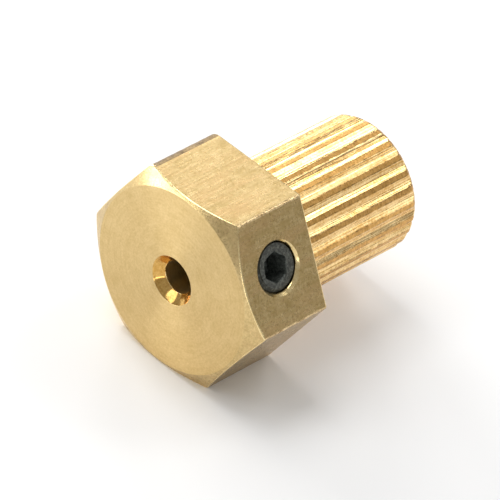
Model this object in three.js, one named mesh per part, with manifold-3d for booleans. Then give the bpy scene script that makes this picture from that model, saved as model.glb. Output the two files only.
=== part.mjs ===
// A brass drive gear for a 2 mm motor shaft: a hexagonal hub, a barrel with straight teeth
// behind it, and a socket grub screw through one flat of the hub that clamps the shaft.
//
// Millimetres, +Z up. The bore runs along Y, from the hub's front face at -Y to the barrel's
// end at +Y. The origin is on the bore's axis, halfway along the gear. Two flats of the hub
// are level, one on top and one below.

import * as THREE from "three";
import { mergeVertices } from "three/addons/utils/BufferGeometryUtils.js";
import Module from "manifold-3d";

const manifold = await Module();
manifold.setup();

// ---------------------------------------------------------------- driving dimensions

const OVERALL_LENGTH = 16;
const HEX_LENGTH = 5.75;
const HEX_ACROSS_FLATS = 12;

// A cone turned on the front corners leaves a round front face.
const FACE_RADIUS = 5.82;
const CORNER_DROP = 0.68; // how far behind the front face the cone leaves each corner

const TOOTH_COUNT = 27;
const TIP_RADIUS = 4.25;
const ROOT_RADIUS = 4.09;
const LAND_SHARE = 0.34; // of a pitch, the flat top of a tooth
const FLOOR_SHARE = 0.1; // of a pitch, the flat bottom of a groove
const FIRST_TOOTH = 2; // degrees from +X towards +Z
const END_BEVEL_DEPTH = 0.17;
const END_BEVEL_LENGTH = 0.26;

const BORE_RADIUS = 1.05;
const COUNTERSINK_RADIUS = 1.54; // front mouth of the bore, at 45 degrees
const REAR_MOUTH_RADIUS = 1.25;

// The grub screw is M3 x 4. Thread crests and tapped hole are plain cylinders here.
const SCREW_RADIUS = 1.5;
const SCREW_LENGTH = 4;
const SCREW_RECESS = 0.27; // below the flat
const SCREW_EDGE = 0.15; // chamfer at the socket end
const SCREW_POINT_RADIUS = 0.8; // flat of the clamping tip
const SOCKET_ACROSS_FLATS = 1.5;
const SOCKET_DEPTH = 1.6;
const SOCKET_TURN = -19.5; // degrees that one corner of the socket is turned from -Y

const SCREW_FLAT = 30; // degrees that the clamping flat faces above +X
const HOLE_RADIUS = SCREW_RADIUS + 0.05;
const HOLE_MOUTH_RADIUS = 1.64;
const HOLE_END = -0.2; // from the bore's axis to the tip of the drilled cone
const DRILL_CONE = 31; // degrees that the drill's cutting edges slope

const ROUND_SEGMENTS = 96;
const HOLE_SEGMENTS = 48;
const PAST = 1; // how far a cutting tool runs past the face it starts from

// ---------------------------------------------------------------- derived places

const FRONT = -OVERALL_LENGTH / 2;
const REAR = OVERALL_LENGTH / 2;
const HEX_REAR = FRONT + HEX_LENGTH;
const HEX_SCREW_MIDDLE = FRONT + HEX_LENGTH / 2;
const FLAT_DISTANCE = HEX_ACROSS_FLATS / 2;
const CORNER_RADIUS = FLAT_DISTANCE / Math.cos(Math.PI / 6);
const radians = THREE.MathUtils.degToRad;

// ---------------------------------------------------------------- shape helpers

// Points around the Y axis: angles in degrees, measured from +X towards +Z.
function polar(radius, degrees) {
  const angle = radians(degrees);
  return new THREE.Vector2(radius * Math.cos(angle), radius * Math.sin(angle));
}

function regularHexagon(acrossFlats, turn) {
  const radius = acrossFlats / 2 / Math.cos(Math.PI / 6);
  return Array.from({ length: 6 }, (_, corner) => polar(radius, turn + 60 * corner));
}

// A straight bar along Y whose section is an outline of (x, z) points.
function prism(outline, from, to) {
  const shape = new THREE.Shape(outline.map((point) => new THREE.Vector2(point.x, -point.y)));
  const bar = new THREE.ExtrudeGeometry(shape, { depth: to - from, bevelEnabled: false });
  return bar.rotateX(-Math.PI / 2).translate(0, from, 0);
}

// A turned solid about the Y axis from [radius, y] pairs that start and end on the axis.
function turned(profile, segments) {
  const points = profile.map(([radius, y]) => new THREE.Vector2(radius, y));
  return new THREE.LatheGeometry(points, segments);
}

function toSolid(geometry) {
  const bare = geometry.index ? geometry.toNonIndexed() : geometry.clone();
  bare.deleteAttribute("normal");
  bare.deleteAttribute("uv");
  const merged = mergeVertices(bare, 1e-4);
  const corners = merged.index.array;
  const kept = [];
  for (let i = 0; i < corners.length; i += 3) {
    const [a, b, c] = corners.slice(i, i + 3);
    if (a !== b && b !== c && c !== a) kept.push(a, b, c);
  }
  return new manifold.Manifold(
    new manifold.Mesh({
      numProp: 3,
      vertProperties: new Float32Array(merged.attributes.position.array),
      triVerts: new Uint32Array(kept),
    }),
  );
}

function toGeometry(solid) {
  const { vertProperties, triVerts } = solid.getMesh();
  const geometry = new THREE.BufferGeometry();
  geometry.setAttribute("position", new THREE.BufferAttribute(vertProperties, 3));
  geometry.setIndex(new THREE.BufferAttribute(triVerts, 1));
  const faceted = geometry.toNonIndexed();
  faceted.computeVertexNormals();
  return faceted;
}

// ---------------------------------------------------------------- gear body

// Hexagonal bar whose front corners are turned off at a shallow cone.
function hexHub() {
  const bar = prism(regularHexagon(HEX_ACROSS_FLATS, 0), FRONT, HEX_REAR);
  const slope = CORNER_DROP / (CORNER_RADIUS - FACE_RADIUS);
  const outside = CORNER_RADIUS + PAST;
  const cone = turned(
    [
      [0, FRONT],
      [FACE_RADIUS, FRONT],
      [outside, FRONT + (outside - FACE_RADIUS) * slope],
      [outside, HEX_REAR + PAST],
      [0, HEX_REAR + PAST],
    ],
    ROUND_SEGMENTS,
  );
  return toSolid(bar).intersect(toSolid(cone));
}

function toothOutline() {
  const pitch = 360 / TOOTH_COUNT;
  const points = [];
  for (let tooth = 0; tooth < TOOTH_COUNT; tooth += 1) {
    const crest = FIRST_TOOTH + tooth * pitch;
    const groove = crest + pitch / 2;
    points.push(polar(TIP_RADIUS, crest - (LAND_SHARE * pitch) / 2));
    points.push(polar(TIP_RADIUS, crest));
    points.push(polar(TIP_RADIUS, crest + (LAND_SHARE * pitch) / 2));
    points.push(polar(ROOT_RADIUS, groove - (FLOOR_SHARE * pitch) / 2));
    points.push(polar(ROOT_RADIUS, groove + (FLOOR_SHARE * pitch) / 2));
  }
  return points;
}

// Straight-toothed barrel, bevelled at its end. It starts inside the hub.
function toothedBarrel() {
  const start = HEX_REAR - PAST;
  const bar = prism(toothOutline(), start, REAR);
  const outside = TIP_RADIUS + PAST;
  const bevelSlope = END_BEVEL_LENGTH / END_BEVEL_DEPTH;
  const envelope = turned(
    [
      [0, start - PAST],
      [outside, start - PAST],
      [outside, REAR - END_BEVEL_LENGTH - PAST * bevelSlope],
      [TIP_RADIUS - END_BEVEL_DEPTH, REAR],
      [0, REAR],
    ],
    ROUND_SEGMENTS,
  );
  return toSolid(bar).intersect(toSolid(envelope));
}

// What the drill and countersink take out along the axis.
function boreCutter() {
  const frontFlare = COUNTERSINK_RADIUS - BORE_RADIUS;
  const rearFlare = REAR_MOUTH_RADIUS - BORE_RADIUS;
  return toSolid(
    turned(
      [
        [0, FRONT - PAST],
        [COUNTERSINK_RADIUS + PAST, FRONT - PAST],
        [BORE_RADIUS, FRONT + frontFlare],
        [BORE_RADIUS, REAR - rearFlare],
        [REAR_MOUTH_RADIUS + PAST, REAR + PAST],
        [0, REAR + PAST],
      ],
      HOLE_SEGMENTS,
    ),
  );
}

// What is built along +Y from the bore's axis turns to stand out through the clamping flat.
const screwTurn = new THREE.Euler(0, radians(-SCREW_FLAT), -Math.PI / 2);
const screwPlace = new THREE.Vector3(0, HEX_SCREW_MIDDLE, 0);

function screwHoleCutter() {
  const mouthFlare = HOLE_MOUTH_RADIUS - HOLE_RADIUS;
  const coneHeight = HOLE_RADIUS * Math.tan(radians(DRILL_CONE));
  const hole = turned(
    [
      [0, HOLE_END],
      [HOLE_RADIUS, HOLE_END + coneHeight],
      [HOLE_RADIUS, FLAT_DISTANCE - mouthFlare],
      [HOLE_MOUTH_RADIUS + PAST, FLAT_DISTANCE + PAST],
      [0, FLAT_DISTANCE + PAST],
    ],
    HOLE_SEGMENTS,
  );
  const turn = new THREE.Quaternion().setFromEuler(screwTurn);
  return toSolid(hole.applyQuaternion(turn).translate(...screwPlace.toArray()));
}

function gearBody() {
  const whole = hexHub().add(toothedBarrel());
  const bored = whole.subtract(boreCutter()).subtract(screwHoleCutter());
  const brass = new THREE.MeshStandardMaterial({ color: 0xd9b36c, roughness: 0.32, metalness: 1 });
  const mesh = new THREE.Mesh(toGeometry(bored), brass);
  mesh.name = "gear_body";
  return mesh;
}

// ---------------------------------------------------------------- grub screw

// Built along +Y, with y measured from the bore's axis and the socket at the far end.
function grubScrew() {
  const top = FLAT_DISTANCE - SCREW_RECESS;
  const tip = top - SCREW_LENGTH;
  const pointHeight = SCREW_RADIUS - SCREW_POINT_RADIUS;
  const blank = turned(
    [
      [0, tip],
      [SCREW_POINT_RADIUS, tip],
      [SCREW_RADIUS, tip + pointHeight],
      [SCREW_RADIUS, top - SCREW_EDGE],
      [SCREW_RADIUS - SCREW_EDGE, top],
      [0, top],
    ],
    HOLE_SEGMENTS,
  );
  const key = prism(regularHexagon(SOCKET_ACROSS_FLATS, SOCKET_TURN), top - SOCKET_DEPTH, top + PAST);
  const steel = new THREE.MeshStandardMaterial({ color: 0x2b2d30, roughness: 0.5, metalness: 0.8 });
  const mesh = new THREE.Mesh(toGeometry(toSolid(blank).subtract(toSolid(key))), steel);
  mesh.name = "grub_screw";
  mesh.rotation.copy(screwTurn);
  mesh.position.copy(screwPlace);
  return mesh;
}

// ---------------------------------------------------------------- assembly

const gear = new THREE.Group();
gear.add(gearBody());
gear.add(grubScrew());

export default gear;
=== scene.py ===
"""Looks for the brass drive gear: a hexagonal hub, a toothed barrel and a black grub screw.

The visible meshes stand for the two CAD nodes. Sizes below are millimetres until a mesh is made.
"""
import math
import random

import bmesh
import bpy
from mathutils import Matrix, Vector, noise


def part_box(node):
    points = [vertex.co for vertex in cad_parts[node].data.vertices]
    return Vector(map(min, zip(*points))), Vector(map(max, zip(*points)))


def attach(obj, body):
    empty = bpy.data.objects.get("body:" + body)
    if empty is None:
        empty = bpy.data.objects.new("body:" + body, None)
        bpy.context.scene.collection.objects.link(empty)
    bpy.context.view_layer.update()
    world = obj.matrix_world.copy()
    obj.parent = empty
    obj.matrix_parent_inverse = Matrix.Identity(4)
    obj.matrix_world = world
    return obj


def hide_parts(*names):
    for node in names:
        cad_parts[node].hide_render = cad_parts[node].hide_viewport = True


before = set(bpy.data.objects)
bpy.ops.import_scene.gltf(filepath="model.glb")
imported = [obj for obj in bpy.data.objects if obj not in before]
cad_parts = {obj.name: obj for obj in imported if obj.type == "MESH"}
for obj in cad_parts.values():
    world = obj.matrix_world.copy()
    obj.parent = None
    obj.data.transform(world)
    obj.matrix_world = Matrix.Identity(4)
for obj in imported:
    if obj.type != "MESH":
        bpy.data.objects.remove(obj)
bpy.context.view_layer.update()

MM = 0.001

# ---------------------------------------------------------------- sizes

BODY_LOW, BODY_HIGH = (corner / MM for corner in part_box("gear_body"))
FRONT = BODY_LOW.y
REAR = BODY_HIGH.y
FLAT_DISTANCE = BODY_HIGH.z
HUB_LENGTH = 5.75
HUB_REAR = FRONT + HUB_LENGTH
FACE_RADIUS = 5.82
CORNER_RADIUS = FLAT_DISTANCE / math.cos(math.radians(30))
CORNER_DROP = 0.68
# The rounding of the hexagon's six long edges, from +X over the top. One is blunt, and its strip
# is painted dark as shade.
HEX_EDGE_RADII = (0.18, 0.20, 0.68, 0.22, 0.18, 0.20)
# The blunt edge; its strip's dark tint is painted shade, standing in for the dark reflection
# there.
PAINTED_SHADE_CORNER = 2

# Shares are parts of the pitch from tooth to tooth, turns are degrees.
TOOTH_COUNT = 27
TIP_RADIUS = 4.25
ROOT_RADIUS = 4.09
LAND_SHARE = 0.31
FLOOR_SHARE = 0.08
# The width of the lines of painted shade along each edge of a crest.
BURR_SHADE_SHARE = 0.055
FIRST_TOOTH = 2.0
CREST_ROUNDING = 0.04
FLOOR_ROUNDING = 0.06
END_BEVEL_DEPTH = 0.17
END_BEVEL_LENGTH = 0.26

# How much one tooth may differ from the next.
TOOTH_SHIFT = 0.15
LAND_SPREAD = 0.1
ROOT_SPREAD = 0.03

# Wear: dents in the crests, their unevenness, and how the hub's edges are knocked back and
# rounded. The reach is a number of columns of the grid.
NICKS = 26
NICK_DEPTHS = (0.02, 0.05)
NICK_LENGTH = 0.12
CREST_WAVE = 0.003
CREST_RIPPLE = 0.002
CORNER_WEAR = 0.03
CORNER_WEAR_REACH = 4
EDGE_ROUNDING = 0.11
EDGE_SWELL = 0.07
EDGE_CHIPS = 0.06

BORE_RADIUS = 1.02
COUNTERSINK_RADIUS = 1.555
COUNTERSINK_DEPTH = 0.55
REAR_MOUTH_RADIUS = 1.25
# The waves round the countersink: how many, how far turned in radians, how high.
CHATTER = ((9, 0.6, 0.020), (5, 1.1, 0.012))

# The grid of the body's mesh: as many columns round the hub's outline as round the barrel's.
# ARC_STEPS count the faces round a corner, MIDS the points on the stretches between corners.
# LAND_COLUMNS are the faces of a tooth's crest, counted from the tooth's first column.
TOOTH_COLUMNS = 16
TOOTH_ARC_STEPS = 2
TOOTH_MIDS = [2, 1, 0, 1]
LAND_COLUMNS = range(1, 6)
SIXTH_COLUMNS = TOOTH_COLUMNS * TOOTH_COUNT // 6
HEX_ARC_STEPS = 5
HUB_ARC_STEPS = 3
HUB_MIDS = [3, 5, 5, 2, 28, 4]
BARREL_ARC_STEPS = 2
BARREL_MIDS = [1, 70, 2, 4, 1, 3]

# Across a ring of the hub's rear face, and across one of the bore, the grid changes from the
# hub's turns to the barrel's. Only points outside TOOTHED_RADIUS have the teeth's wear.
JOIN_OUTER = 4.75
JOIN_INNER = 4.6
BORE_JOIN = (HUB_REAR + REAR) / 2
BORE_JOIN_LENGTH = 0.3
TOOTHED_RADIUS = 3.5

# The grub screw, its socket and its hole. Turns and angles are degrees.
SCREW_FLAT = 30
SCREW_MIDDLE = FRONT + HUB_LENGTH / 2
SCREW_SIDE_SHIFT = 0.12
SCREW_RADIUS = 1.455
SCREW_EDGE = 0.03
SCREW_EDGE_SLOPE = 0.6
SCREW_POINT_RADIUS = 0.75
SCREW_LENGTH = 4.0
SCREW_COLUMNS = 72
SCREW_STEP = 0.04
SCREW_RECESS = 0.21
THREAD_PITCH = 0.5
THREAD_DEPTH = 0.27
SOCKET_ACROSS_FLATS = 1.64
SOCKET_MOUTH_RADIUS = 0.89
SOCKET_MOUTH_SLOPE = 1.4
SOCKET_MOUTH_DEPTH = 0.25
SOCKET_DEPTH = 1.6
SOCKET_TURN = -20
SOCKET_CONE_DEPTH = 0.35
SOCKET_CONE_TIP = 0.05
HOLE_CREST_RADIUS = 1.475
HOLE_THREAD_DEPTH = 0.06
HOLE_MOUTH_RADIUS = 1.66
HOLE_MOUTH_SLOPE = 0.95
HOLE_MOUTH_SHIFT = 0.06
HOLE_MOUTH_TURN = 248
HOLE_END = -0.2
HOLE_CONE_TIP = 0.01
HOLE_CONE_ANGLE = 31
HOLE_FINE_START = 1.0
HOLE_COLUMNS = 64

# How far a cutter stands out of what it cuts, the distance between its rings where they are
# close, and how near points are that a cut's clean-up merges.
OVERSHOOT = 0.4
FINE_STEP = 0.05
WELD_DISTANCE = 0.0002

# How near an arc the closest points of a straight stretch are, the share of a stretch that an
# arc may take at each end, and the angle in degrees from which an edge is shaded sharp.
HUG_DISTANCE = 0.06
LONGEST_REACH = 0.45
SHARP_ANGLE = 35

random.seed(27)


# ---------------------------------------------------------------- outlines

def polar(radius, degrees):
    angle = math.radians(degrees)
    return Vector((radius * math.cos(angle), radius * math.sin(angle)))


def rounded(points, radii, arc_steps, mids, closed=False):
    """A 2-D polyline with each inner corner turned into an arc.

    mids[i] says how many points lie on the straight stretch that starts at corner i. The first
    and last of them hug the arcs, so that smooth shading stays off the flat faces between.
    """
    count = len(points)
    result = []
    ends = {}
    for i in range(count):
        here = points[i]
        if not closed and i in (0, count - 1):
            ends[i] = (here, here)
            continue
        before = points[i - 1] - here
        after = points[(i + 1) % count] - here
        turn = math.pi - before.angle(after)
        longest = LONGEST_REACH * min(before.length, after.length)
        reach = min(radii[i] * math.tan(turn / 2), longest)
        ends[i] = (here + before.normalized() * reach, here + after.normalized() * reach)
    for i in range(count):
        start, stop = ends[i]
        if start is stop:
            result.append(start)
        else:
            for step in range(arc_steps + 1):
                t = step / arc_steps
                bend = points[i] * 2 * t * (1 - t)
                result.append(start * (1 - t) ** 2 + bend + stop * t ** 2)
        if closed or i < count - 1:
            goal = ends[(i + 1) % count][0]
            result.extend(stretch(stop, goal, mids[i]))
    return result


def stretch(start, goal, count):
    """Points between start and goal: two that hug the ends, the others evenly between."""
    length = (goal - start).length
    hug = min(HUG_DISTANCE, 0.3 * length) / max(length, 1e-9)
    if count == 0:
        places = []
    elif count == 1:
        places = [0.5]
    else:
        places = [hug + (1 - 2 * hug) * i / (count - 1) for i in range(count)]
    return [start.lerp(goal, t) for t in places]


def hub_outline():
    """The hexagon with slightly rounded corners."""
    corners = [polar(CORNER_RADIUS, 60 * k) for k in range(6)]
    mids = SIXTH_COLUMNS - HEX_ARC_STEPS - 1
    return rounded(corners, HEX_EDGE_RADII, HEX_ARC_STEPS, [mids] * 6, closed=True)


def barrel_outline():
    """The toothed section, no two teeth quite the same."""
    pitch = 360 / TOOTH_COUNT
    corners = []
    for tooth in range(TOOTH_COUNT):
        centre = FIRST_TOOTH + pitch * tooth + random.uniform(-TOOTH_SHIFT, TOOTH_SHIFT)
        land = LAND_SHARE * pitch / 2 * random.uniform(1 - LAND_SPREAD, 1 + LAND_SPREAD)
        root = ROOT_RADIUS + random.uniform(-ROOT_SPREAD, ROOT_SPREAD)
        groove = FIRST_TOOTH + pitch * (tooth + 0.5)
        floor = FLOOR_SHARE * pitch / 2
        corners += [polar(TIP_RADIUS, centre - land), polar(TIP_RADIUS, centre + land)]
        corners += [polar(root, groove - floor), polar(root, groove + floor)]
    radii = [CREST_ROUNDING, CREST_ROUNDING, FLOOR_ROUNDING, FLOOR_ROUNDING] * TOOTH_COUNT
    return rounded(corners, radii, TOOTH_ARC_STEPS, TOOTH_MIDS * TOOTH_COUNT, closed=True)


# ---------------------------------------------------------------- mesh making

def new_object(name, vertices, faces, slots):
    mesh = bpy.data.meshes.new(name)
    mesh.from_pydata([tuple(v) for v in vertices], [], faces)
    mesh.polygons.foreach_set("material_index", slots)
    mesh.update()
    made = bpy.data.objects.new(name, mesh)
    bpy.context.scene.collection.objects.link(made)
    return made


def grid_faces(rows, columns, wrap_rows):
    """Quads of a grid that is closed round its columns, and round its rows if asked."""
    faces = []
    for row in range(rows if wrap_rows else rows - 1):
        below = row * columns
        above = (row + 1) % rows * columns
        for column in range(columns):
            following = (column + 1) % columns
            faces.append((below + column, above + column, above + following, below + following))
    return faces


def apply_modifiers(made):
    shape = made.evaluated_get(bpy.context.evaluated_depsgraph_get())
    mesh = bpy.data.meshes.new_from_object(shape)
    old = made.data
    made.modifiers.clear()
    made.data = mesh
    bpy.data.meshes.remove(old)
    return made


def cut_out(made, cutter):
    """Takes the cutter's shape out of an object. The cut's faces have the cutter's material."""
    cut = made.modifiers.new("cut", "BOOLEAN")
    cut.operation = "DIFFERENCE"
    cut.solver = "EXACT"
    cut.material_mode = "TRANSFER"
    cut.object = cutter
    apply_modifiers(made)
    bpy.data.objects.remove(cutter)
    weld(made.data)


def weld(mesh):
    """Merges points that a cut leaves on top of each other, and divides faces with many sides."""
    shape = bmesh.new()
    shape.from_mesh(mesh)
    bmesh.ops.remove_doubles(shape, verts=shape.verts, dist=WELD_DISTANCE * MM)
    bmesh.ops.dissolve_degenerate(shape, edges=shape.edges, dist=WELD_DISTANCE * MM)
    bmesh.ops.triangulate(shape, faces=[face for face in shape.faces if len(face.verts) > 4])
    shape.to_mesh(mesh)
    shape.free()


def smooth(made):
    """Smooth shading that keeps flat faces flat and edges over SHARP_ANGLE sharp."""
    mesh = made.data
    mesh.shade_smooth()
    mesh.set_sharp_from_angle(angle=math.radians(SHARP_ANGLE))
    weighted = made.modifiers.new("normals", "WEIGHTED_NORMAL")
    weighted.keep_sharp = True
    weighted.weight = 60
    return apply_modifiers(made)


# ---------------------------------------------------------------- gear body

# Material slots of the body; the last is the blunt edge's strip, painted dark as shade.
FACE, FLAT, CHAMFER, LAND, GROOVE, SINK, BORE, THREAD, END, EDGE, CORNER, PAINTED_SHADE = range(12)


def section(corners, arc_steps, mids):
    """A section of the body with rounded corners, from (radius, y, rounding) for each corner."""
    places = [Vector((radius, y)) for radius, y, _ in corners]
    return rounded(places, [rounding for _, _, rounding in corners], arc_steps, mids)


def hub_column(point, turn):
    """The hub's section through one point of its outline, from the bore's middle outwards."""
    radius = point.length
    slope = CORNER_DROP / (CORNER_RADIUS - FACE_RADIUS)
    corners = [
        (BORE_RADIUS, BORE_JOIN, 0),
        (BORE_RADIUS, FRONT + COUNTERSINK_DEPTH, 0.07),
        (COUNTERSINK_RADIUS, FRONT, 0.03),
        (FACE_RADIUS, FRONT, 0.05),
        (radius, FRONT + (radius - FACE_RADIUS) * slope, edge_wear(turn)),
        (radius, HUB_REAR, 0.07),
        (JOIN_OUTER, HUB_REAR, 0),
    ]
    return section(corners, HUB_ARC_STEPS, HUB_MIDS)


def barrel_column(point):
    """The barrel's section through one point of its outline, from the hub back to the bore."""
    radius = point.length
    bevel = max(radius - (TIP_RADIUS - END_BEVEL_DEPTH), 0.03)
    length = bevel * END_BEVEL_LENGTH / END_BEVEL_DEPTH
    flare = REAR_MOUTH_RADIUS - BORE_RADIUS
    corners = [
        (JOIN_INNER, HUB_REAR, 0),
        (radius, HUB_REAR, 0.06),
        (radius, REAR - length, 0.15),
        (radius - bevel, REAR, 0.05),
        (REAR_MOUTH_RADIUS, REAR, 0.03),
        (BORE_RADIUS, REAR - flare, 0.03),
        (BORE_RADIUS, BORE_JOIN + BORE_JOIN_LENGTH, 0),
    ]
    return section(corners, BARREL_ARC_STEPS, BARREL_MIDS)


def band_slots(arc_steps, mids, kinds, arcs):
    """The material of each band of faces down a section: kinds on its stretches, arcs between."""
    slots = []
    for i, kind in enumerate(kinds):
        slots += [kind] * (mids[i] + 1)
        if i < len(arcs):
            slots += [arcs[i]] * arc_steps
    return slots


def edge_wear(turn):
    """How far the front edge of the flats is rounded, which varies along the edge."""
    place = Vector((math.cos(turn), math.sin(turn), 0)) * 6
    swell = EDGE_SWELL * noise.noise(place * 0.9)
    chips = EDGE_CHIPS * noise.noise(place * 3.1)
    return EDGE_ROUNDING + swell + chips


def corner_wear(column, y):
    """How far the hexagon's long edges are knocked back at one point of them."""
    half = SIXTH_COLUMNS // 2
    across = (column + half) % SIXTH_COLUMNS - half - HEX_ARC_STEPS / 2
    if abs(across) > CORNER_WEAR_REACH:
        return 0.0
    corner = (column + half) // SIXTH_COLUMNS % 6
    place = Vector((corner * 7.3, y * 1.5, 0))
    worn = CORNER_WEAR * noise.noise(place) + CORNER_WEAR * noise.noise(place * 3.3)
    return max(0.0, worn) * (1 - abs(across) / CORNER_WEAR_REACH)


def chatter(turn, radius):
    """The waves that a countersink leaves round the mouth of the bore, deepest halfway down."""
    across = (radius - BORE_RADIUS) / (COUNTERSINK_RADIUS - BORE_RADIUS)
    depth = 0.25 + 0.75 * math.sin(math.pi * min(1, max(0, across)))
    return depth * sum(height * math.sin(waves * turn + shift) for waves, shift, height in CHATTER)


def nicks():
    """Places (column, y, depth) of small dents in the edges of the teeth's crests."""
    crest_edges = (1, 2, 5, 6)
    places = []
    for _ in range(NICKS):
        column = TOOTH_COLUMNS * random.randrange(TOOTH_COUNT) + random.choice(crest_edges)
        y = random.uniform(HUB_REAR + 0.4, REAR - 0.6)
        places.append((column, y, random.uniform(*NICK_DEPTHS)))
    return places


def worn_hub_radius(point, column, turn):
    """The radius of a point of the hub: corners are knocked back and the countersink is wavy."""
    if point.x > FACE_RADIUS:
        return point.x - corner_wear(column, point.y)
    if BORE_RADIUS + 0.01 < point.x < COUNTERSINK_RADIUS - 0.01:
        return point.x + chatter(turn, point.x)
    return point.x


def tooth_wear(column, y, dents):
    """How far the barrel's surface stands off its ideal shape at one point."""
    tooth = column // TOOTH_COLUMNS
    wave = CREST_WAVE * noise.noise(Vector((tooth * 3.7, y * 0.8, column * 0.11)))
    ripple = CREST_RIPPLE * noise.noise(Vector((tooth * 5.1, y * 3.5, column * 0.4)))
    dent = 0.0
    for place, centre, depth in dents:
        if abs(place - column) <= 1 and abs(centre - y) < 0.3:
            dent += depth * math.exp(-((centre - y) / NICK_LENGTH) ** 2)
    return wave + ripple - dent


def worn_section(column, hub_point, barrel_point, dents):
    """(turn, (radius, y)) for each point of the body's section at one column of the grid."""
    hub_turn = math.atan2(hub_point.y, hub_point.x)
    barrel_turn = math.atan2(barrel_point.y, barrel_point.x)
    line = []
    for point in hub_column(hub_point, hub_turn):
        radius = worn_hub_radius(point, column, hub_turn)
        line.append((hub_turn, Vector((radius, point.y))))
    for point in barrel_column(barrel_point):
        wear = tooth_wear(column, point.y, dents) if point.x > TOOTHED_RADIUS else 0.0
        line.append((barrel_turn, Vector((point.x + wear, point.y))))
    return line


def section_bands():
    """The material of each band of faces down a section of the whole body."""
    hub_kinds = [BORE, SINK, FACE, CHAMFER, FLAT, END]
    hub_arcs = [EDGE, FACE, CHAMFER, EDGE, EDGE]
    barrel_kinds = [END, LAND, LAND, END, SINK, BORE]
    barrel_arcs = [END, LAND, LAND, END, SINK]
    bands = band_slots(HUB_ARC_STEPS, HUB_MIDS, hub_kinds, hub_arcs) + [END]
    return bands + band_slots(BARREL_ARC_STEPS, BARREL_MIDS, barrel_kinds, barrel_arcs) + [BORE]


def gear_body_blank():
    """The body as one closed grid, before the screw's hole is cut."""
    hub = hub_outline()
    barrel = barrel_outline()
    dents = nicks()
    columns = range(len(hub))
    sections = [worn_section(column, hub[column], barrel[column], dents) for column in columns]
    rows = range(len(sections[0]))
    vertices = []
    for row in rows:
        for column in columns:
            turn, point = sections[column][row]
            place = Vector((point.x * math.cos(turn), point.y, point.x * math.sin(turn)))
            vertices.append(place * MM)
    bands = section_bands()
    slots = [surface_kind(bands[row], column) for row in rows for column in columns]
    faces = grid_faces(len(rows), len(columns), True)
    return new_object("gear_body_visual", vertices, faces, slots)


def surface_kind(band, column):
    """The material of one face: grooves lie between lands, and worn corners between flats, one of
    them painted dark as shade.
    """
    if band == LAND and column % TOOTH_COLUMNS not in LAND_COLUMNS:
        return GROOVE
    if band == FLAT and column % SIXTH_COLUMNS < HEX_ARC_STEPS:
        return PAINTED_SHADE if column // SIXTH_COLUMNS == PAINTED_SHADE_CORNER else CORNER
    return band


# What is built along +Y from the bore's axis turns to stand out through the clamping flat.
SCREW_OUT = Matrix.Rotation(-math.pi / 2, 4, "Z")
SCREW_TURN = Matrix.Rotation(math.radians(-SCREW_FLAT), 4, "Y") @ SCREW_OUT
SCREW_SHIFT = Matrix.Translation((0, 0, SCREW_SIDE_SHIFT * MM))
SCREW_PLACE = Matrix.Translation((0, SCREW_MIDDLE * MM, 0)) @ SCREW_TURN @ SCREW_SHIFT


def thread(y, turn):
    """0 at a thread's crest, 1 at its root, on a right-hand helix. turn is in radians."""
    phase = (y / THREAD_PITCH + turn / (2 * math.pi)) % 1
    return min(1, max(0, 1.25 - 3 * abs(phase - 0.5)))


def turned_grid(name, heights, radius_at, columns):
    """A closed round solid about Y with a cap at each end. radius_at(y, turn) is in mm."""
    vertices = [Vector((0, heights[0], 0)) * MM]
    for y in heights:
        for column in range(columns):
            turn = 2 * math.pi * column / columns
            radius = radius_at(y, turn)
            vertices.append(Vector((radius * math.cos(turn), y, radius * math.sin(turn))) * MM)
    vertices.append(Vector((0, heights[-1], 0)) * MM)
    last = len(vertices) - 1
    faces = [tuple(1 + i for i in face) for face in grid_faces(len(heights), columns, False)]
    for column in range(columns):
        following = (column + 1) % columns
        faces.append((0, 1 + column, 1 + following))
        faces.append((last, last - columns + following, last - columns + column))
    return new_object(name, vertices, faces, [0] * len(faces))


def steps(start, stop, size):
    """Even places from start to stop, about size apart."""
    count = max(1, round((stop - start) / size))
    return [start + (stop - start) * i / count for i in range(count + 1)]


def hole_radius(y, turn):
    """The tapped hole: a drilled cone, then thread, then a countersunk mouth, a bit off centre."""
    cone = (y - HOLE_END) / math.tan(math.radians(HOLE_CONE_ANGLE)) + HOLE_CONE_TIP
    threaded = HOLE_CREST_RADIUS + HOLE_THREAD_DEPTH * (1 - thread(y, turn))
    depth = FLAT_DISTANCE - y
    shift = HOLE_MOUTH_SHIFT * math.cos(turn - math.radians(HOLE_MOUTH_TURN))
    mouth = HOLE_MOUTH_RADIUS + shift - depth * HOLE_MOUTH_SLOPE
    return min(cone, max(threaded, mouth))


def cut_screw_hole(body):
    heights = steps(HOLE_END, HOLE_FINE_START, 2 * FINE_STEP)
    heights += steps(HOLE_FINE_START + FINE_STEP, FLAT_DISTANCE + OVERSHOOT, FINE_STEP)
    cutter = turned_grid("hole_cutter", heights, hole_radius, HOLE_COLUMNS)
    cutter.matrix_world = SCREW_PLACE
    cutter.data.materials.append(body.data.materials[THREAD])
    cut_out(body, cutter)


# ---------------------------------------------------------------- grub screw

def screw_radius(y, turn):
    top = FLAT_DISTANCE - SCREW_RECESS
    tip = top - SCREW_LENGTH
    crest = SCREW_RADIUS - THREAD_DEPTH * thread(y, turn)
    socket_end = SCREW_RADIUS - SCREW_EDGE + (top - y) * SCREW_EDGE_SLOPE
    point = SCREW_POINT_RADIUS + (y - tip)
    return min(crest, socket_end, point)


def grub_screw():
    top = FLAT_DISTANCE - SCREW_RECESS
    heights = steps(top - SCREW_LENGTH, top, SCREW_STEP)
    screw = turned_grid("grub_screw_visual", heights, screw_radius, SCREW_COLUMNS)
    socket_steel = black_oxide("socket_steel", SOCKET_OXIDE, 0.5)
    screw.data.materials.append(black_oxide("black_steel", BLACK_OXIDE, 0.42))
    screw.data.materials.append(socket_steel)
    key = hexagonal_key(top)
    key.data.materials.append(socket_steel)
    cut_out(screw, key)
    screw.data.transform(SCREW_PLACE)
    return smooth(screw)


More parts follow.
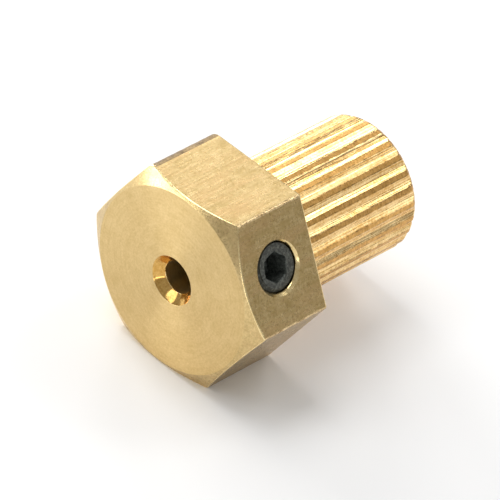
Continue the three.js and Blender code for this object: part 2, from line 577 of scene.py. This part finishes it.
def hexagonal_key(top):
    """The shape of the socket: six flats, a drilled cone at its end and a countersunk mouth."""
    end = top - SOCKET_DEPTH
    mouth = top - SOCKET_MOUTH_DEPTH
    heights = [end - SOCKET_CONE_DEPTH] + steps(end, mouth - FINE_STEP, 4 * FINE_STEP)
    heights += steps(mouth, top + OVERSHOOT / 2, FINE_STEP)

    def key_radius(y, turn):
        around = (math.degrees(turn) - SOCKET_TURN) % 60 - 30
        flat = SOCKET_ACROSS_FLATS / 2 / math.cos(math.radians(around))
        if y < end:
            return SOCKET_CONE_TIP
        return max(flat, SOCKET_MOUTH_RADIUS - (top - y) * SOCKET_MOUTH_SLOPE)

    return turned_grid("key_cutter", heights, key_radius, SCREW_COLUMNS)


# ---------------------------------------------------------------- materials

class Nodes:
    """A material's node tree with short ways to add and join nodes."""

    def __init__(self, name):
        self.material = bpy.data.materials.new(name)
        self.material.use_nodes = True
        self.tree = self.material.node_tree
        self.tree.nodes.clear()
        output = self.tree.nodes.new("ShaderNodeOutputMaterial")
        self.shader = self.tree.nodes.new("ShaderNodeBsdfPrincipled")
        self.tree.links.new(self.shader.outputs[0], output.inputs[0])

    def add(self, kind, inputs=(), **settings):
        node = self.tree.nodes.new(kind)
        for key, value in settings.items():
            setattr(node, key, value)
        for key, value in dict(inputs).items():
            self.join(value, node.inputs[key])
        return node

    def join(self, value, socket):
        if isinstance(value, bpy.types.NodeSocket):
            self.tree.links.new(value, socket)
        else:
            socket.default_value = value

    def math(self, operation, a, b=0.0):
        return self.add("ShaderNodeMath", {0: a, 1: b}, operation=operation).outputs[0]

    def position(self):
        """The point's place in the gear's frame, in millimetres."""
        place = self.add("ShaderNodeTexCoord").outputs["Object"]
        return self.stretched(place, (1 / MM,) * 3)

    def stretched(self, place, factors):
        scale = {0: place, 1: factors}
        return self.add("ShaderNodeVectorMath", scale, operation="MULTIPLY").outputs[0]

    def noise(self, place, scale, detail=3.0, rough=0.55):
        inputs = {"Vector": place, "Scale": scale, "Detail": detail, "Roughness": rough}
        return self.add("ShaderNodeTexNoise", inputs).outputs["Fac"]

    def ramp(self, value, low, high, out_low, out_high):
        """Turns low to high into out_low to out_high, and holds the value beyond them."""
        inputs = {"Value": value, "From Min": low, "From Max": high}
        inputs.update({"To Min": out_low, "To Max": out_high})
        return self.add("ShaderNodeMapRange", inputs).outputs["Result"]

    def mix(self, factor, a, b):
        node = self.add("ShaderNodeMix", data_type="RGBA")
        self.join(factor, node.inputs["Factor"])
        self.join(a, node.inputs["A"])
        self.join(b, node.inputs["B"])
        return node.outputs["Result"]

    def bump(self, height, distance):
        inputs = {"Height": height, "Distance": distance * MM, "Strength": 1.0}
        return self.add("ShaderNodeBump", inputs).outputs["Normal"]

    def shade(self, **inputs):
        """Sets the shader's inputs, named with _ for a space: each a value or a node's output."""
        for name, value in inputs.items():
            self.join(value, self.shader.inputs[name.replace("_", " ")])


# Brass tints: the clean metal and the darker stain on it. The barrel's tints also hold painted
# reflection, and the blunt edge's tint is painted shade.
BRASS = (0.90, 0.73, 0.40, 1), (0.61, 0.44, 0.18, 1)
FACE_BRASS = (0.82, 0.625, 0.315, 1), (0.555, 0.378, 0.141, 1)
CHAMFER_BRASS = (0.82, 0.62, 0.305, 1), (0.50, 0.36, 0.15, 1)
FLAT_BRASS = (0.585, 0.44, 0.22, 1), (0.38, 0.263, 0.098, 1)
# Partly painted reflection: the groove and land tints are warmer and deeper orange than the clean
# brass, standing in for the light the teeth reflect onto each other.
GROOVE_BRASS = (1.0, 0.74, 0.365, 1), (0.60, 0.34, 0.10, 1)
LAND_BRASS = (0.84, 0.49, 0.165, 1), (0.42, 0.22, 0.05, 1)
SINK_BRASS = (0.86, 0.565, 0.19, 1), (0.53, 0.275, 0.056, 1)
EDGE_BRASS = (0.98, 0.81, 0.46, 1), (0.84, 0.61, 0.26, 1)
CORNER_BRASS = (0.88, 0.68, 0.38, 1), (0.32, 0.20, 0.08, 1)
# Painted shade: the blunt edge's strip gets this dark tint in place of the dark reflection it
# shows.
PAINTED_SHADE_BRASS = (0.30, 0.21, 0.10, 1), (0.12, 0.08, 0.04, 1)

# The colours of the long reddish stains on flats and of the painted shade of burrs along the
# teeth's crests.
FLUSHED_BRASS = (0.52, 0.34, 0.155, 1)
BURR_SHADE_BRASS = (0.17, 0.10, 0.035, 1)

BLACK_OXIDE = (0.043, 0.045, 0.038, 1)
SOCKET_OXIDE = (0.050, 0.056, 0.050, 1)
WORN_OXIDE_GAIN = 3.6


def ring_place(nodes, place, across, around):
    """Stretches noise into rings about the bore: fine across them, slow along them."""
    flat = nodes.stretched(place, (1, 0, 1))
    radius = nodes.add("ShaderNodeVectorMath", {0: flat}, operation="LENGTH").outputs["Value"]
    outwards = nodes.add("ShaderNodeVectorMath", {0: flat}, operation="NORMALIZE").outputs[0]
    slow = nodes.stretched(outwards, (around, 0, around))
    rings = nodes.math("MULTIPLY", radius, across)
    far = nodes.add("ShaderNodeCombineXYZ", {"Y": rings}).outputs[0]
    return nodes.add("ShaderNodeVectorMath", {0: slow, 1: far}, operation="ADD").outputs[0]


def blend(nodes, *layers):
    """The sum of (value, share) layers."""
    total = None
    for value, share in layers:
        part = nodes.math("MULTIPLY", value, share)
        total = part if total is None else nodes.math("ADD", total, part)
    return total


def scratches(nodes, place, factors, turn, width=0.04):
    """Sparse thin lines, 1 on a line and 0 off it, long where factors are small."""
    inputs = {"Vector": place, "Rotation": turn}
    turned = nodes.add("ShaderNodeVectorRotate", inputs, rotation_type="EULER_XYZ").outputs[0]
    lines = nodes.noise(nodes.stretched(turned, factors), 1.0, detail=1.0)
    off = nodes.math("ABSOLUTE", nodes.math("SUBTRACT", lines, 0.5))
    return nodes.ramp(off, 0.0, width, 1.0, 0.0)


def brass(
    name, roughness, marks, depth, spread=0.06,
    tint=BRASS, stain=0.35, grain=0.0, flush=0.0, burr_shade=0.0,
):
    """Brass whose fine marks come from marks(nodes, place), a height of about 0 to 1.

    depth is the height of the marks in millimetres, spread how far the roughness varies.
    grain stretches the highlights: above 0 across the length, below 0 along it or outwards.
    flush is how strongly long reddish stains show, burr how strongly the painted shade of burrs
    along the crests shows.
    """
    nodes = Nodes(name)
    place = nodes.position()
    height = marks(nodes, place)
    patch = nodes.noise(place, 1.1, detail=4.0, rough=0.65)
    speck = nodes.noise(place, 6.0, detail=2.5, rough=0.66)
    blotch = blend(nodes, (patch, 0.3), (speck, 0.4), (height, -0.7))
    colour = nodes.mix(nodes.ramp(blotch, -0.12, 0.12, 0.5 - stain, 0.5 + stain), *tint)
    if flush:
        stains = nodes.noise(nodes.stretched(place, (1.3, 0.22, 1.3)), 1.0, detail=5.0, rough=0.7)
        colour = nodes.mix(nodes.ramp(stains, 0.46, 0.66, 0.0, flush), colour, FLUSHED_BRASS)
    # Painted shade: dark broken lines along the crests' edges stand in for the shade of small
    # burrs.
    if burr_shade:
        burr_shade_amount = nodes.math("MULTIPLY", burr_shade_lines(nodes, place), burr_shade)
        colour = nodes.mix(burr_shade_amount, colour, BURR_SHADE_BRASS)
    wear = blend(nodes, (height, 0.5), (speck, 0.5))
    rough = nodes.ramp(wear, 0.35, 0.65, roughness + spread, roughness - spread)
    nodes.shade(Base_Color=colour, Metallic=1.0, Roughness=rough, Normal=nodes.bump(height, depth))
    if grain:
        tangent = nodes.add("ShaderNodeTangent", direction_type="RADIAL", axis="Y").outputs[0]
        quarter_turn = 0.0 if grain > 0 else 0.25
        nodes.shade(Anisotropic=abs(grain), Anisotropic_Rotation=quarter_turn, Tangent=tangent)
    return nodes.material


def burr_shade_lines(nodes, place):
    """1 on broken lines along both edges of every tooth's crest, 0 elsewhere: where the shade of
    burrs is painted.
    """
    parts = nodes.add("ShaderNodeSeparateXYZ", {0: place}).outputs
    turn = nodes.math("ARCTAN2", parts["Z"], parts["X"])
    teeth = nodes.math("MULTIPLY", turn, TOOTH_COUNT / (2 * math.pi))
    shifted = nodes.math("ADD", teeth, TOOTH_COUNT - FIRST_TOOTH * TOOTH_COUNT / 360)
    from_crest = nodes.math("PINGPONG", shifted, 0.5)
    off = nodes.math("ABSOLUTE", nodes.math("SUBTRACT", from_crest, LAND_SHARE / 2))
    line = nodes.ramp(off, 0.4 * BURR_SHADE_SHARE, BURR_SHADE_SHARE, 1.0, 0.0)
    dots = nodes.noise(nodes.stretched(place, (1.5, 2.5, 1.5)), 1.0, detail=4.0, rough=0.75)
    return nodes.math("MULTIPLY", line, nodes.ramp(dots, 0.44, 0.58, 0.0, 1.0))


def turning_rings(nodes, place):
    fine = nodes.noise(ring_place(nodes, place, 9, 2.5), 1.0, detail=3.0, rough=0.7)
    broad = nodes.noise(ring_place(nodes, place, 2.5, 1.5), 1.0, detail=2.0)
    dull = nodes.noise(place, 9, detail=3.0, rough=0.7)
    return blend(nodes, (fine, 0.40), (broad, 0.10), (dull, 0.50))


def drawn_lines(nodes, place):
    lines = nodes.noise(nodes.stretched(place, (7, 0.3, 7)), 1.0, detail=3.0, rough=0.6)
    dents = nodes.noise(nodes.stretched(place, (3.6, 1.8, 3.6)), 1.0, detail=3.0, rough=0.65)
    across = scratches(nodes, place, (0.35, 2.2, 0.35), (0.0, 0.0, 0.6))
    slant = scratches(nodes, place, (0.5, 1.6, 0.5), (0.4, 0.0, -0.9), width=0.03)
    return blend(nodes, (lines, 0.5), (dents, 0.5), (across, -0.06), (slant, -0.06))


def lathe_lines(nodes, place):
    lines = nodes.noise(nodes.stretched(place, (2, 12, 2)), 1.0, detail=2.0, rough=0.75)
    dull = nodes.noise(place, 5, detail=3.0, rough=0.7)
    return blend(nodes, (lines, 0.75), (dull, 0.25))


def groove_lines(nodes, place):
    lines = nodes.noise(nodes.stretched(place, (9, 0.10, 9)), 1.0, detail=3.0, rough=0.65)
    bumps = nodes.noise(nodes.stretched(place, (2.5, 3.5, 2.5)), 1.0, detail=3.0, rough=0.65)
    return blend(nodes, (lines, 0.88), (bumps, 0.12))


def worn_edge(nodes, place):
    rough = nodes.noise(nodes.stretched(place, (1, 0.5, 1)), 4.5, detail=4.0, rough=0.7)
    fine = nodes.noise(place, 14, detail=2.0)
    return blend(nodes, (rough, 0.7), (fine, 0.3))


def black_oxide(name, colour, roughness, spread=0.08):
    """Blackened steel with patches where the black has worn lighter."""
    nodes = Nodes(name)
    place = nodes.position()
    worn = nodes.ramp(nodes.noise(place, 6.0, detail=4.0, rough=0.75), 0.44, 0.64, 0.0, 1.0)
    lighter = tuple(WORN_OXIDE_GAIN * channel for channel in colour[:3]) + (1,)
    pits = nodes.noise(place, 9, detail=3.0, rough=0.7)
    rough = nodes.ramp(pits, 0.3, 0.7, roughness - spread, roughness + spread)
    nodes.shade(Base_Color=nodes.mix(worn, colour, lighter), Metallic=0.35)
    nodes.shade(Roughness=rough, Normal=nodes.bump(pits, 0.04))
    return nodes.material


def gear_materials():
    """In the order of the constants FACE to PAINTED_SHADE: roughness, marks and their depth, then looks."""
    face_looks = {"tint": FACE_BRASS, "stain": 0.25, "grain": -0.8}
    flat_looks = {"tint": FLAT_BRASS, "stain": 0.42, "grain": 0.4, "flush": 0.6}
    chamfer_looks = {"tint": CHAMFER_BRASS, "stain": 0.38, "grain": -0.5, "flush": 0.35}
    # Lands and grooves both carry the painted shade of burrs along the crests' edges.
    land_looks = {"tint": LAND_BRASS, "grain": -0.3, "burr_shade": 0.7}
    groove_looks = {"tint": GROOVE_BRASS, "spread": 0.03, "stain": 0.5, "grain": 0.4, "burr_shade": 0.7}
    end_looks = {"tint": FACE_BRASS, "grain": -0.5}
    return [
        brass("brass_face", 0.34, turning_rings, 0.014, **face_looks),
        brass("brass_flat", 0.29, drawn_lines, 0.017, **flat_looks),
        brass("brass_chamfer", 0.30, turning_rings, 0.013, **chamfer_looks),
        brass("brass_land", 0.38, lathe_lines, 0.030, **land_looks),
        brass("brass_groove", 0.07, groove_lines, 0.018, **groove_looks),
        brass("brass_countersink", 0.12, turning_rings, 0.005, spread=0.04, tint=SINK_BRASS),
        brass("brass_bore", 0.40, lathe_lines, 0.010, stain=0.2),
        brass("brass_thread", 0.20, lathe_lines, 0.004),
        brass("brass_end", 0.34, turning_rings, 0.014, **end_looks),
        brass("brass_edge", 0.22, worn_edge, 0.014, tint=EDGE_BRASS),
        brass("brass_corner", 0.25, worn_edge, 0.040, tint=CORNER_BRASS, stain=0.5),
        # The blunt edge's strip: rougher brass with a painted dark tint as shade.
        brass("brass_painted_shade", 0.42, worn_edge, 0.040, tint=PAINTED_SHADE_BRASS, stain=0.5),
    ]


# ---------------------------------------------------------------- studio

# The camera, fitted to the photo: degrees, millimetres from the point it aims at, lens in mm.
AZIMUTH = 38.06
ELEVATION = 38.26
ROLL = 10.85
DISTANCE = 375.8
LENS = 468.0
SENSOR = 36
AIM = Vector((-0.17, -1.19, -1.05))

# Softboxes at this many metres: azimuth from the front face towards the screw's side and
# elevation in degrees, width and height in metres, watts.
LIGHT_DISTANCE = 0.8
LIGHTS = {
    "left": (-100, 12, 0.40, 0.30, 4.6),
    "back_left": (-131, 22, 0.22, 0.18, 1.00),
    "back_left_high": (-141, 40, 0.30, 0.22, 0.30),
    "back_top": (176, 52, 0.20, 0.20, 0.50),
    "back_top_right": (157, 47, 0.18, 0.18, 0.27),
    "back_right": (134, 22, 0.20, 0.20, 0.14),
    "front_right": (44, 6, 0.20, 0.14, 0.22),
    "front_low": (-42, 4, 0.60, 0.20, 2.7),
    "front_left": (-40, 43, 0.30, 0.30, 0.55),
    "overhead": (-80, 68, 0.40, 0.40, 2.05),
}
WORLD_STRENGTH = 0.43
FLOOR_HALF = 3.0
FLOOR_COLOUR = (0.97, 0.97, 0.97, 1)


def direction(azimuth, elevation):
    """The unit vector towards a place round the gear, seen from its middle."""
    turn = math.radians(azimuth)
    rise = math.radians(elevation)
    level = math.cos(rise)
    return Vector((math.sin(turn) * level, -math.cos(turn) * level, math.sin(rise)))


def make_camera():
    back = direction(AZIMUTH, ELEVATION)
    data = bpy.data.cameras.new("camera")
    camera = bpy.data.objects.new("camera", data)
    bpy.context.scene.collection.objects.link(camera)
    camera.location = (AIM + back * DISTANCE) * MM
    facing = back.to_track_quat("Z", "Y").to_matrix().to_4x4()
    turn = facing @ Matrix.Rotation(math.radians(ROLL), 4, "Z")
    camera.matrix_world = Matrix.Translation(camera.location) @ turn
    data.lens = LENS
    data.sensor_width = SENSOR
    data.clip_start = 0.01
    data.clip_end = 10
    bpy.context.scene.camera = camera


def area_light(name, azimuth, elevation, width, height, power):
    data = bpy.data.lights.new(name, "AREA")
    data.shape = "RECTANGLE"
    data.size = width
    data.size_y = height
    data.energy = power
    light = bpy.data.objects.new(name, data)
    bpy.context.scene.collection.objects.link(light)
    towards = direction(azimuth, elevation)
    light.location = towards * LIGHT_DISTANCE
    light.rotation_euler = towards.to_track_quat("Z", "Y").to_euler()


def make_floor():
    half = FLOOR_HALF
    low = BODY_LOW.z * MM
    corners = [(-half, -half, low), (half, -half, low), (half, half, low), (-half, half, low)]
    floor = new_object("floor", corners, [(0, 1, 2, 3)], [0])
    nodes = Nodes("floor")
    nodes.shade(Base_Color=FLOOR_COLOUR, Roughness=0.9)
    floor.data.materials.append(nodes.material)


def make_world():
    world = bpy.data.worlds.new("studio")
    bpy.context.scene.world = world
    world.use_nodes = True
    background = world.node_tree.nodes["Background"]
    background.inputs["Color"].default_value = (1, 1, 1, 1)
    background.inputs["Strength"].default_value = WORLD_STRENGTH


# ---------------------------------------------------------------- the scene

body = gear_body_blank()
for material in gear_materials():
    body.data.materials.append(material)
cut_screw_hole(body)
smooth(body)
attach(body, "gear")
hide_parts("gear_body")

screw = grub_screw()
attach(screw, "screw")
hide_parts("grub_screw")

make_camera()
make_world()
make_floor()
for name, values in LIGHTS.items():
    area_light(name, *values)
bpy.context.scene.view_settings.view_transform = "Standard"
